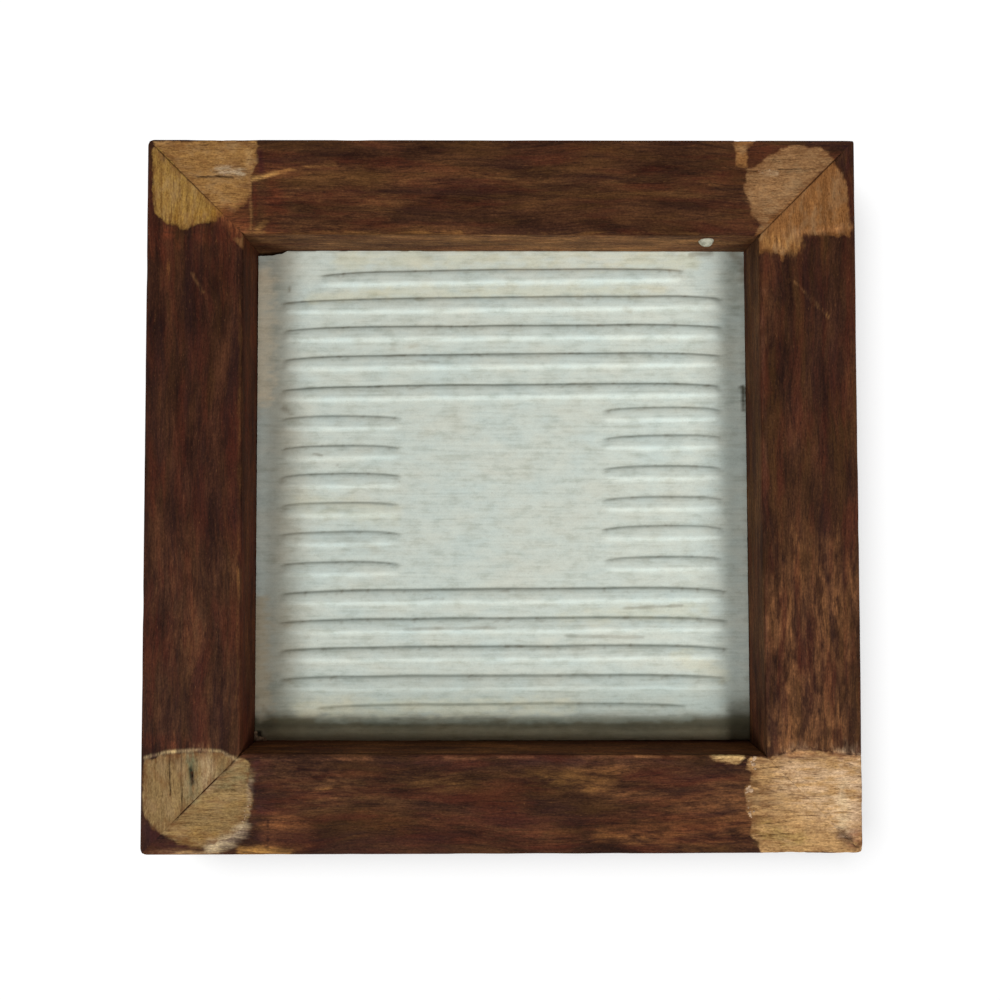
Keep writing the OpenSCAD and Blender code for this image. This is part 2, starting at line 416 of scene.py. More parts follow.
def putty_material():
    """Dark filler, as the stain has coloured it."""
    s = Shader("wood_filler")
    cloud = s.noise(s.place(), 2.5, 4)
    colour = s.ramp(cloud, 0.3, 0.7, (44, 26, 19), (74, 47, 32))
    return s.finish(colour, Roughness=0.9, Specular_IOR_Level=WOOD_SPECULAR, Normal=s.bump(cloud, 0.12))


# Each rail: how far it is turned from the place of the back rail, where its grain starts in the pattern,
# its stain, the stain on its inner wall, how far its inner edge leans into the recess at its start and its
# end, and how golden it is.
RAILS = {
    "rail_back": (0, (0, 0), (71, 44, 28), (120, 84, 54), (-0.2, 0.3), 0.85),
    "rail_front": (180, (410, 60), (56, 34, 22), (100, 62, 38), (0.1, 0.9), 0.6),
    "rail_left": (90, (830, 130), (52, 29, 20), (69, 38, 24), (0.4, 0.1), 0.35),
    "rail_right": (-90, (1270, 210), (57, 34, 22), (81, 54, 36), (0.4, -0.4), 0.6),
}

# The joint at each corner, by the sides it is on: depth, darkness, half the width, how broken it is, and
# how far from the outside it starts and ends to show, as shares of the rail's width.
MITRES = {
    (-1, 1): (0.12, 0.6, 0.17, 0.45, 0.02, 0.62),
    (1, 1): (0.35, 0.65, 0.19, 0.25, 0.08, 1.1),
    (-1, -1): (0.4, 0.85, 0.22, 0.5, 0.3, 1.1),
    (1, -1): (0.03, 0.3, 0.15, 0.6, 0.02, 0.2),
}

INK, PLUM, RUST = (34, 20, 16), (52, 28, 30), (86, 40, 26)
OLIVE, GOLD, TAN = (92, 64, 38), (134, 92, 50), (170, 124, 78)
CREAM, GREEN_INK, CHALK = (214, 181, 146), (36, 44, 34), (212, 186, 152)

# Bare wood at the corners, where the pads tore the stain off: tone, depth of the torn fibres, and
# the outline as x, y, x, y and so on.
PATCHES = (
    ((154, 113, 65), 0.05, -103.5, 104.6, -73, 105.5, -72, 103, -73, 101, -72.5, 98, -74.5, 94.5,
     -74.5, 89.5, -75.5, 86, -78.5, 84, -81.5, 83, -84.5, 82),
    ((153, 117, 60), 0.12, -104, 102, -102, 103, -85, 86, -83, 83.5, -86, 80.5, -89, 79.5, -92, 79, -95, 78,
     -97, 79, -98.5, 80, -101.5, 81.5, -103.5, 84),
    ((144, 106, 70), 0.06, 73, 96.5, 72.5, 91, 73.5, 86.5, 74, 82.5, 76.5, 80.5, 78, 78.6, 99.6, 98.8,
     97.5, 101, 95, 103, 91, 103.5, 87.5, 104, 83.5, 103, 80.5, 101, 77.5, 99, 74.5, 97),
    ((134, 90, 51), 0.3, 77, 79.6, 98.8, 99.8, 101.5, 95.5, 103, 90.5, 103.5, 84.5, 104, 78.5, 104, 76,
     90, 76.5, 89, 74, 88.5, 72.5, 85, 71.5, 83.5, 68.5, 82, 71, 78.5, 71.5, 76.5, 71, 76, 69.5, 76, 72.5,
     75.5, 77.5),
    ((133, 108, 71), 0.1, -104.5, -77.5, -101, -77, -97.5, -76, -93.5, -75.5, -88, -75.5, -82, -75.5,
     -80, -76.5, -77.4, -78.2, -92.5, -93.5, -94.5, -96, -98, -100, -101, -98, -103.5, -95, -104.5, -94),
    ((134, 108, 70), 0.12, -75, -77.5, -73, -79, -73.5, -81, -73.5, -85.5, -72.5, -87.5, -73, -90.5,
     -74, -95, -75.5, -98, -79, -100, -84, -102, -87, -103, -92, -102.5, -95.5, -101, -98.4, -99,
     -97.4, -97, -77.2, -76.8),
    ((182, 142, 95), 0.16, 72.5, -77.5, 71, -80, 72.5, -82.5, 72, -85, 70.5, -87, 71.5, -89.5, 71, -93.5,
     72.5, -96, 72.5, -99.5, 74, -102.5, 75.5, -105.5, 105.5, -105.5, 105.5, -77, 96, -76, 86.5, -75,
     84.5, -76, 78, -77.5),
    # Small spots: two by the back rail's corners and a splinter off the front rail's inner edge.
    ((120, 84, 50), 0.05, -79.8, 75.8, -76.4, 75.8, -76.4, 71.8, -78, 72.8),
    ((152, 106, 62), 0.1, 69.4, 105.5, 75.8, 105.5, 75.2, 103.6, 73.4, 102.8, 73.2, 97, 69.7, 97.6),
    ((216, 178, 120), 0.03, 60.4, -75, 71.2, -75, 71.2, -77.8, 68.4, -79.2, 64, -79.2, 61, -77.8),
)
PATCH_DEPTH = 0.2
TORN_END, TORN_STEP, MIDDLE_STEPS = 37, 0.32, 63  # the rails are modelled finely for 37 mm from each end

# Strokes of colour over stain and bare wood alike: colour, strength in percent, half the width, and the
# points as x, y, x, y and so on. Strokes as strong as WHOLE_STROKE aren't broken up.
WHOLE_STROKE = 90
STROKES = (
    # Broad tones of the four rails.
    ((104, 70, 42), 60, 9, -66, 92, -36, 90), (OLIVE, 35, 5, -20, 91, 60, 92),
    ((60, 36, 24), 50, 6, -10, 103, 30, 102), ((100, 64, 40), 80, 11, 34, -84, 70, -92),
    (OLIVE, 40, 4, -62, -86, -8, -87, 20, -84), (RUST, 45, 4, -40, -97, 20, -99, 60, -96),
    ((54, 31, 22), 60, 9, -20, -92, 18, -92), ((102, 68, 44), 75, 5.5, -66, -83, -50, -86),
    ((60, 34, 24), 50, 8, -90, 40, -92, -20), ((74, 47, 32), 80, 14, -88, -30, -90, -66),
    ((114, 75, 48), 88, 15, 90, -28, 88, -64), ((62, 37, 27), 60, 12, 92, 60, 90, 20),
    # Streaks of dark heartwood.
    (INK, 75, 1.2, -32, 81.2, -10, 80.6, 10, 81.2), (INK, 50, 0.6, -18, 98.4, 0, 97.8),
    (INK, 45, 0.5, 8, 94.6, 30, 94, 58, 95), (INK, 50, 0.5, -30, 101.6, -4, 101),
    ((100, 68, 38), 60, 3, -24, -85, -10, -85), ((102, 70, 38), 60, 3.2, 10, -84.5, 30, -85.5),
    ((46, 27, 20), 60, 1.8, -24, -91.5, 40, -91), ((66, 42, 36), 60, 1.4, -24, -78.4, 60, -78.4),
    ((120, 76, 46), 60, 4, 38, -100, 70, -98), (INK, 75, 0.7, -36, -80.2, -14, -80.8, 2, -80.2),
    (INK, 50, 0.6, -22, -90, 6, -91), (INK, 45, 2.2, -30, -88.5, 10, -89.5),
    (INK, 60, 1, -80, 60, -79, 30, -80.5, 4), (INK, 50, 1.4, -93, 64, -92, 36),
    (INK, 50, 1.6, -86, -2, -88, -20, -87, -36), (INK, 45, 1.2, -99, 30, -98, -10),
    (INK, 50, 2, 90, 4, 91, -16, 89, -34), (INK, 40, 1.6, 82, 58, 83, 24), (INK, 45, 1.2, 98, 40, 97, 10),
    # Rubbed and scratched places.
    (GOLD, 60, 0.45, -70, 77.3, -30, 77.3, -12, 77.3), (GOLD, 55, 0.4, 8, 77.2, 40, 77.2, 60, 77.2),
    ((150, 102, 66), 70, 0.35, 39, -77.2, 61, -77), ((124, 80, 56), 70, 0.4, -17, -77.6, -7, -77.6),
    ((124, 80, 56), 70, 0.4, -1, -77.4, 9, -77.3), ((112, 72, 50), 60, 0.4, 24, -77.9, 30, -77.8),
    ((112, 72, 50), 50, 0.4, -70, -77.8, -38, -77.6), (GOLD, 30, 0.4, -77.3, 60, -77.4, -60),
    (TAN, 50, 0.45, 77.9, -56, 78.2, -74), ((100, 68, 52), 50, 0.7, 77.5, 60, 77.5, -60),
    ((176, 132, 80), 90, 0.55, -74.9, 93, -71.1, 94, -67, 95.1),
    ((152, 108, 62), 80, 0.45, -67, 95.1, -62.8, 96.1, -56.9, 97, -49.5, 97.9),
    ((176, 136, 86), 90, 1, -75.2, 101.3, -75, 98.2),
    ((156, 114, 70), 90, 0.35, -74.9, 98, -74.8, 92.8, -74.6, 86.8, -74.3, 82, -74.5, 78.2),
    (RUST, 70, 0.6, -73.4, 92, -73.2, 82), ((146, 106, 62), 80, 0.9, -75.6, 77.4, -71.2, 76.8),
    ((146, 106, 62), 80, 0.6, -73.3, 77.8, -69.8, 80.5), (TAN, 60, 0.6, -76.6, 73.6, -76.4, 77),
    (TAN, 55, 0.35, 87, 62.6, 97, 52), (GOLD, 50, 0.5, -98.6, 70, -99, 63),
    (TAN, 50, 0.45, -91.6, 65, -88.6, 59.6), (GOLD, 35, 1.6, 28, -100, 64, -103),
    (GOLD, 40, 0.4, -57, -88, -46, -84.6),
    # Stains by the torn corners.
    ((126, 74, 46), 95, 3, -82, 82.4, -77.6, 80), ((106, 58, 38), 75, 1.6, -76.8, 85.5, -76.2, 80),
    (RUST, 60, 2.2, -103, 76.8, -80, 76.8), (INK, 50, 0.3, -103, 77.4, -80, 77.2),
    (RUST, 50, 2.6, -103, 72, -95, 72), (PLUM, 90, 0.9, -71.9, 101, -71.4, 95.8),
    (RUST, 70, 2.2, -67.5, 92, -66, 84), (RUST, 50, 1.8, -69, 92, -68, 78),
    (RUST, 75, 1.6, 74, 104.4, 79, 103.4, 77, 101), (PLUM, 75, 1.8, 103.6, 104, 103.2, 98),
    (PLUM, 60, 1.2, 92, 105, 102, 104.6), (INK, 60, 1.2, 76.6, 79, 77.4, 76.6),
    (PLUM, 90, 1.5, -104.2, -97, -101, -100.6, -96, -103, -90, -104),
    ((152, 122, 88), 85, 0.6, -102, -104.6, -83, -104.8),
    ((150, 108, 58), 90, 1.1, -76, -104.2, -62, -104.6), (PLUM, 80, 1.6, -71.4, -79, -71, -90, -70, -101),
    ((58, 32, 30), 60, 1.6, -68.4, -80, -67.6, -100), ((122, 76, 46), 90, 3.6, -66, -98.6, -58.5, -100),
    (INK, 70, 0.35, -68.2, -95.4, -68.1, -103.6), (RUST, 50, 2.2, -103, -72.5, -93, -73),
    ((150, 98, 76), 70, 2.4, 102.8, -98.6, 103.4, -102), ((64, 32, 28), 95, 1.5, 99.4, -99.8, 100.8, -101),
    (INK, 80, 0.4, 97.4, -97.4, 100, -100.4, 103.6, -103.4),
    ((112, 78, 56), 80, 0.35, 96.1, -95.8, 99.2, -99.6), (INK, 75, 0.8, 103, -104.2, 104.2, -102.6),
    (INK, 95, 0.8, 77.2, -75.4, 77.4, -76.8), (INK, 95, 0.5, -77.4, -77.4, -78.8, -78.8),
    # Marks on the bare wood itself.
    (CHALK, 75, 0.45, -85, 96.6, -81.6, 97, -78, 96.2),
    (CHALK, 90, 0.4, -83.8, 95.4, -79.8, 95.7, -76.8, 94.8),
    ((150, 132, 108), 60, 1.6, -84, 95.6, -78, 95.6), (CHALK, 50, 0.6, 77.6, 95.4, 82, 95.2),
    ((148, 138, 104), 70, 2.2, -90.6, -78, -90, -88), ((78, 82, 60), 75, 1.3, -90.4, -77, -90.4, -87.6),
    (GREEN_INK, 95, 0.7, -90.8, -80.6, -90.2, -84.6), ((172, 146, 110), 85, 2.2, -85.4, -78.4, -86, -85),
    ((160, 118, 78), 60, 4.5, 78, 89.5, 84, 89.5),
    ((70, 44, 28), 60, 0.4, -97, -101.8, -90, -104, -80, -103.8),
    ((174, 148, 108), 90, 0.4, -104, -77.2, -98, -75.6, -88, -74.9, -82, -75.4, -77.6, -77.8),
    ((126, 116, 84), 60, 3, -82, -84, -76, -83), ((158, 128, 78), 60, 2.4, -86, -90.5, -76, -89.5),
    ((72, 48, 30), 70, 0.35, -84, -87, -78, -86.6, -74, -87.4),
    ((128, 90, 60), 60, 0.9, -88.6, -73.8, -86.6, -74.2), ((150, 116, 66), 70, 2.5, -94, -100.5, -84, -100),
    ((156, 128, 72), 60, 3, 77, -99, 86, -102), (CREAM, 60, 7.5, 88, -84, 98, -90),
    (CREAM, 80, 5, 101.5, -80, 101.5, -94), ((212, 188, 146), 50, 1.6, 99.8, -86, 99.6, -97),
    ((112, 84, 50), 50, 1.2, 74, -84, 74, -100),
    ((182, 132, 86), 80, 0.8, 84, -76.4, 96, -76.7, 103.6, -77.4),
    ((92, 56, 38), 85, 0.3, 84, -77.7, 92, -77.6, 103.6, -78.2),
    ((172, 120, 76), 80, 1, 88, 77.2, 94, 77.6, 104, 79.2), ((178, 128, 74), 70, 2.5, 79, 75, 87, 74),
    ((112, 76, 40), 70, 0.25, -101.2, 100.2, -101.1, 82), ((112, 76, 40), 60, 0.2, -95.9, 97, -95.8, 82.5),
    ((112, 76, 40), 60, 0.2, -87.9, 89.5, -87.5, 82.5), ((148, 106, 42), 70, 1.8, -96.7, 82.3, -84.9, 83.2),
    ((146, 126, 102), 70, 0.8, -73.4, -84, -73.6, -91, -75, -96, -79, -100.6),
    ((180, 158, 126), 90, 1.6, -75.4, -98, -79, -101, -84.6, -102.8),
)

# Cracks and cuts: half the width, the depth, and the points.
CRACKS = (
    (0.25, 0.5, -90.6, 94.2, -86.4, 94.2, -84, 94.4, -80, 94), (0.3, 0.6, -84.4, 94.4, -83.2, 94.2),
    (0.15, 0.25, -75, 92.2, -71, 93.2, -65.8, 94.4), (0.15, 0.3, -74.1, 93, -74, 78),
    (0.2, 0.5, 68.2, 96.6, 72.2, 96.2, 76.2, 96), (0.2, 0.5, 82.6, 96.6, 85.6, 96.6, 89.4, 96.8),
    (0.12, 0.3, 84, 95.6, 94.6, 96.8), (0.2, 0.5, -97, -76.6, -97, -81.8, -96.6, -88.2),
    (0.2, 0.5, -93.6, -76.2, -93.6, -83.4, -93.2, -92.2), (0.12, 0.3, -85, -77, -84.8, -84),
    (0.35, 0.7, -90.5, -81.6, -90.4, -84.2), (0.15, 0.4, -100.6, 101.4, -100.6, 99),
    (0.12, 0.25, 87, 62.2, 97, 51.6), (0.18, 0.45, 74.1, -81.1, 78, -80.4, 82.3, -80.2),
    (0.15, 0.35, 74.1, -84.2, 83.7, -83.4), (0.15, 0.3, 75, -86.5, 78, -86.8, 80.4, -87.8),
    (0.15, 0.3, 83.6, -88.2, 87, -88.5, 90.1, -89.5), (0.15, 0.35, 76, -92.5, 86, -93.2),
    (0.15, 0.4, 76.3, -96.9, 85, -95.8), (0.15, 0.4, 73.9, -100.4, 85, -99.5),
)


def rail_section():
    """Points (u, z) round the section of a rail, from the foot of its outer face over the back."""
    arris, lip = RAIL_H - ARRIS_R, RAIL_W + LIP_W
    edge, foot = (RAIL_W, BACK_PLANE), (RAIL_W, LIP_T)
    return (
        [(0, FACE_R)] + run((0, FACE_R), (0, arris), 0.9) + arc(ARRIS_R, arris, ARRIS_R, 180, 90, 3)
        + run((ARRIS_R, RAIL_H), (RAIL_W - ARRIS_R, RAIL_H), 0.3)
        + arc(RAIL_W - ARRIS_R, arris, ARRIS_R, 90, 0, 3)
        + run((RAIL_W, arris), edge, 0.5) + [edge] + run(edge, foot, 3) + [foot]
        + run(foot, (lip, LIP_T), 2) + [(lip, LIP_T)] + arc(lip - LIP_R, LIP_R, LIP_R, 0, -90, 4)
        + run((lip - LIP_R, 0), (FACE_R, 0), 1.5) + arc(FACE_R, FACE_R, FACE_R, -90, -180, 8)[:-1]
    )


def rail_stations():
    """Where along a rail its section is repeated, from -1 to 1: close together at the torn ends."""
    ends = np.concatenate([[0, 0.12, 0.3, 0.55], np.arange(0.85, TORN_END, TORN_STEP)])
    middle = np.linspace(ends[-1], HALF, MIDDLE_STEPS + 1)[1:]
    left = np.concatenate([ends, middle]) / HALF - 1
    return np.concatenate([left, -left[-2::-1]])


def round_corners(x, y):
    """Rounds the frame's upright corners: the square at each becomes a quarter of a disc."""
    radius = np.where((x > 0) & (y > 0), SHARP_CORNER_R, CORNER_R)
    low = HALF - radius
    a = np.clip((np.abs(x) - low) / radius, 0, 1)
    b = np.clip((np.abs(y) - low) / radius, 0, 1)
    at_corner = (a > 0) & (b > 0)
    new_x = np.where(at_corner, low + radius * a * np.sqrt(1 - b * b / 2), np.abs(x))
    new_y = np.where(at_corner, low + radius * b * np.sqrt(1 - a * a / 2), np.abs(y))
    return np.copysign(new_x, x), np.copysign(new_y, y)


def turned(x, y, degrees):
    """Points turned about the middle by a number of right angles."""
    c, s = round(math.cos(math.radians(degrees))), round(math.sin(math.radians(degrees)))
    return c * x - s * y, s * x + c * y


def bare_wood(x, y, along, across):
    """How far inside a bare patch each point is, that patch's tone, and how deep its fibres are torn."""
    ragged = 0.4 * layered_noise(along / 1.6, across / 1.1, 11) + 0.5 * noise(along / 4, across / 3, 17)
    bare = np.full(x.shape, -9.0)
    tone = np.tile(linear(PATCHES[0][0]), (len(x), 1))
    torn = np.zeros(x.shape)
    for colour, fibre, *outline in PATCHES:
        depth = depth_inside(x, y, pairs(outline)) + ragged
        nearer = depth > bare
        bare = np.where(nearer, depth, bare)
        tone[nearer] = linear(colour)
        torn[nearer] = fibre
    return bare, tone, torn


def lay(strokes, tone, x, y, soft, ragged, whole, share=1.0):
    """Lays strokes over a tone. Their edges are soft(width) wide, and the weaker ones are broken up."""
    for colour, strength, width, *line in strokes:
        edge = soft(width)
        cover = smooth(width - distance_to_line(x, y, pairs(line)) + edge * ragged, -edge, edge)
        cover = strength / 100 * cover * (whole if strength < WHOLE_STROKE else 1.0)
        tone = covered(tone, colour, cover * share)
    return tone


def paint(tone, x, y, z, along, across):
    """Lays the strokes over a tone, on the back alone. Their edges are drawn out along the grain."""
    ragged = 0.6 * layered_noise(along / 3.5, across / 0.7, 23)
    whole = smooth(0.5 + 0.5 * layered_noise(along / 3.2, across / 0.9, 29), 0.2, 0.7)
    on_back = smooth(z, RAIL_H - 2.0, RAIL_H - 0.5)
    return lay(STROKES, tone, x, y, lambda width: min(width, 0.8 + width * 0.5), ragged, whole, on_back)


def crack_depth(x, y):
    """Depth of the deepest crack at each point."""
    depth = np.zeros(x.shape)
    for width, deep, *line in CRACKS:
        depth = np.maximum(depth, deep * bell(distance_to_line(x, y, pairs(line)), width))
    return depth


def mitre_line(x, y, distance):
    """Depth and darkness of the joint at points a distance from it. Each corner's has its own."""
    groove, joint = np.zeros(x.shape), np.zeros(x.shape)
    from_outside = (HALF - np.maximum(np.abs(x), np.abs(y))) / RAIL_W
    for (right, back), (deep, dark, width, broken, start, reach) in MITRES.items():
        here = (x * right > 0) & (y * back > 0)
        open_part = 1 - broken * smooth(noise(x / 2.1, y / 2.1, 47), -0.3, 0.5)
        open_part *= smooth(from_outside, start, start + 0.12)
        open_part *= 1 - 0.9 * smooth(from_outside, reach, reach + 0.1)
        line = np.where(here, bell(distance, width) * open_part, 0)
        groove += deep * line
        joint += dark * line
    return groove, joint


def make_rail(name, material):
    """A rail: its section from mitre to mitre, sunk where it is worn, with its tones as attributes."""
    turn, (start, side), stain, wall_stain, lean, golden = RAILS[name]
    section = np.array(rail_section())
    stations = rail_stations()
    rows, columns = len(stations), len(section)
    tangent = np.roll(section, -1, 0) - np.roll(section, 1, 0)
    tangent /= np.linalg.norm(tangent, axis=1)[:, None]
    out_u, out_z = np.tile(-tangent[:, 1], rows), np.tile(tangent[:, 0], rows)
    share = np.repeat(stations, columns)
    u, z = np.tile(section[:, 0], rows), np.tile(section[:, 1], rows)
    along = share * (HALF - u)

    # The inner edge isn't quite parallel to the outer one.
    leaning = np.interp(share, [-1, 1], lean)
    u_seen = u + leaning * smooth(u, RAIL_W - 7, RAIL_W) * smooth(z, LIP_T, BACK_PLANE)
    along_seen = share * (HALF - u_seen)

    x, y = turned(along_seen, HALF - u_seen, turn)
    on_back = smooth(z, RAIL_H - 1.2, RAIL_H - 0.3)
    bare, bare_tone, torn = bare_wood(x, y, along, u)
    bare = np.where(on_back > 0.5, bare, np.minimum(bare, 0) - 1.5 * (1 - on_back))
    opened = smooth(bare, -0.3, 1.3)

    # At the right front corner the front rail's torn fibres run on over the joint.
    over = (y < 0) & (bare > -0.6) & (on_back > 0.5) if name == "rail_right" else False
    run_along, run_across = np.where(over, HALF - u, along), np.where(over, along, u)

    streak = layered_noise(along / 9, (u + z) / 0.9 + side, 31)
    wear = smooth(noise(along / 11, u / 9 + side, 37), 0.0, 0.9)
    outer_arris = bell(np.hypot(u, z - RAIL_H), 1.1)
    inner_arris = bell(np.hypot(u - RAIL_W, z - RAIL_H), 0.9)
    mitre = (1 - np.abs(share)) * (HALF - u) / math.sqrt(2)
    groove, joint = mitre_line(x, y, mitre)
    sunk = 0.02 + 0.02 * (1 + streak)
    fibres = layered_noise(run_along / 7, run_across / 0.55 + side, 41)
    sunk += opened * (PATCH_DEPTH + torn * smooth(mitre, 0, 1.6) * (1 + fibres))
    sunk += crack_depth(x, y) * on_back * (0.6 + 0.4 * noise(along / 0.8, u / 0.8, 43))
    sunk += groove * on_back
    sunk += outer_arris * (0.08 + 0.1 * wear) + inner_arris * (0.1 + 0.3 * wear)
    sunk *= np.where(z < BACK_PLANE - 1, np.where(u > RAIL_W - 0.1, 0.0, 0.6), 1.0)
    u_seen = u_seen - out_u * sunk
    z_seen = z - out_z * sunk
    x, y = round_corners(*turned(along_seen, HALF - u_seen, turn))
    grain = np.stack([run_along + start, run_across + side, z + side], 1)

    finish_tone = paint(np.tile(linear(stain), (len(x), 1)), x, y, z, along, u)
    finish_tone = finish_tone * (1 + 0.4 * layered_noise(along / 10 + side, (u + z) / 3.2, 51))[:, None]
    wall = smooth(u, RAIL_W - 0.3, RAIL_W - 0.02) * smooth(RAIL_H - z, 0.5, 1.0)
    finish_tone = covered(finish_tone, wall_stain, wall)
    # Bare wood is painted darker where its torn fibres lie deeper and lighter where they are shallower:
    # painted shade in their hollows.
    bare_tone = paint(bare_tone, x, y, z, run_along, run_across) * (1 - 1.2 * torn * fibres)[:, None]
    dark = np.clip(crack_depth(x, y) * 1.8 * on_back + joint * (0.3 + 0.7 * on_back), 0, 0.9)
    faces = grid_faces(rows, columns, closed=True)
    caps = [list(t) for t in tessellate_polygon([[Vector((a, b, 0)) for a, b in section]])]
    last = (rows - 1) * columns
    # tessellate_polygon turns all its triangles the same way, so one cap is reversed.
    faces += [[last + k for k in t] for t in caps] + [t[::-1] for t in caps]
    return add_piece(
        name + "_wood", np.stack([x, y, z_seen], 1), faces, material, "rail_wood", (name,),
        grain=grain,
        bare=bare,
        golden=np.full(len(x), golden),
        finish_tone=covered(finish_tone, INK, dark),
        bare_tone=covered(bare_tone, INK, dark),
    )


# Each row of ribs from the back rail down: its middle at both places of ROW_X, and its height. Outside these
# places a row's slope is END_SLOPE of what it is between them. The short rows slope by SHORT_SLOPE.
ROW_X, END_SLOPE, SHORT_SLOPE = (-55.0, 50.0), 0.6, 0.01
ROWS = (
    (67.5, 69.0, 0.85), (58.9, 60.2, 0.9), (50.1, 51.1, 0.9), (41.0, 42.2, 0.9), (31.4, 32.6, 0.95),
    (22.2, 25.0, 0.75), (12.9, 16.2, 0.75), (4.2, 6.6, 0.8), (-4.8, -3.0, 0.75), (-13.9, -12.1, 0.75),
    (-23.3, -21.7, 0.8), (-32.1, -31.3, 0.95), (-41.0, -40.5, 0.9), (-49.7, -49.2, 0.9),
    (-58.6, -58.3, 0.85), (-67.4, -67.0, 0.8),
)
SHORT_ROWS = range(5, 11)
RIB_W, RIB_END, FIELD_END, FIRST_END = 5.4, 69.3, 31.2, 57.4

# How far the edge of the tile's back reaches past its square, towards three of the rails. Towards the right
# one it is RIGHT_LEAN less for each millimetre further back. Then how far the edge drops, over what width.
TOP_REACH, RIGHT_REACH, LEFT_REACH, RIGHT_LEAN = 0.55, 0.48, 0.18, 0.0038
EDGE_DROP, EDGE_ROUND = 0.2, 0.35
BACK_COLUMNS, BACK_ROWS = 190, 470
PITS, PITTED_HALF = 150, 74

# The second and third of these colours are a painted highlight on the ribs' lower flanks and a painted shade
# line along their upper flanks.
TILE_TONE, RIB_TOP, RIB_PAINTED_LIGHT, RIB_PAINTED_SHADE = (202, 208, 201), (198, 205, 199), (213, 221, 216), (116, 122, 111)
# Of the colours below, the grey, olive, soot and left ones also paint shade in the recess along the rails,
# and the wall one paints light over the shade by the front wall.
TAUPE, CREAM_DIRT, GREY_DIRT_AND_SHADE, SOOT_AND_SHADE = (150, 138, 112), (206, 202, 178), (140, 146, 136), (70, 66, 50)
BROWN_DIRT, OLIVE_PAINTED_SHADOW, LEFT_DIRT_AND_SHADE = (104, 90, 68), (84, 77, 56), (144, 131, 108)
WALL_PAINTED_LIGHT, SIDE_TONE = (192, 178, 144), (176, 172, 156)

# Dirt on the tile back, and a painted shadow line under the lowest row of ribs, in rows like those of
# STROKES.
TILE_MARKS = (
    ((220, 209, 187), 95, 3.4, -75, 68, -74.8, 44, -75, 31),
    ((184, 171, 148), 90, 2.8, -75.4, -34, -74.8, -66),
    (CREAM_DIRT, 60, 2.6, -50, 73.9, 20, 74.2, 60, 73.4),
    (CREAM_DIRT, 50, 1.8, -44, 63.4, 20, 64, 50, 64.4), (CREAM_DIRT, 50, 1.5, -60, 61.6, -36, 63),
    (CREAM_DIRT, 45, 2.4, -62, -66, 20, -66), (CREAM_DIRT, 40, 2.2, 20, -38, 62, -36),
    (CREAM_DIRT, 35, 3, -62, -3, -34, -6), (CREAM_DIRT, 40, 2.6, 56, -50, 68, -56),
    (TAUPE, 35, 0.8, -34.2, 47.2, -33.6, 45.8), (TAUPE, 35, 0.7, -28.6, 46.2, -26.4, 47.4),
    (BROWN_DIRT, 50, 0.4, -36, 43.2, -30, 43.7), (BROWN_DIRT, 35, 0.35, -26, 41.6, -20, 41.4),
    (TAUPE, 30, 0.7, 38.8, 58, 40.4, 57.6), (BROWN_DIRT, 40, 0.35, -58.4, 12.8, -56, 12.2),
    (BROWN_DIRT, 40, 0.3, -51.4, 9.4, -50.4, 8.4), (BROWN_DIRT, 45, 0.4, -66, 66.4, -66.6, 64),
    (TAUPE, 20, 2.2, -52, -14, -40, -16), (BROWN_DIRT, 45, 0.9, -68, 27, -66, 25.4),
    (BROWN_DIRT, 55, 1.4, 73, 75.4, 76, 72, 76, 68), (SOOT_AND_SHADE, 95, 0.7, 75.5, 33.5, 75.7, 26.5),
    (GREY_DIRT_AND_SHADE, 50, 2, 73, 72, 74.4, 58), (BROWN_DIRT, 50, 0.8, 60, 75.8, 66, 75.8),
    (BROWN_DIRT, 50, 0.35, -24, -32.4, -18, -32.2), (BROWN_DIRT, 40, 0.4, 38, -35.4, 56, -34.6),
    (BROWN_DIRT, 35, 0.5, -30, -41.8, -2, -41.2), (BROWN_DIRT, 30, 0.5, 20, -44, 44, -44.4),
    # A painted shadow along the lower edge of the lowest row of ribs.
    (GREY_DIRT_AND_SHADE, 50, 0.9, -57, -69.6, -40, -70.2, 30, -69.9, 58, -69.6),
    (BROWN_DIRT, 40, 0.8, -70, -70, -74, -66), (INK, 95, 0.6, -75, -73.6, -74.6, -74.4),
)


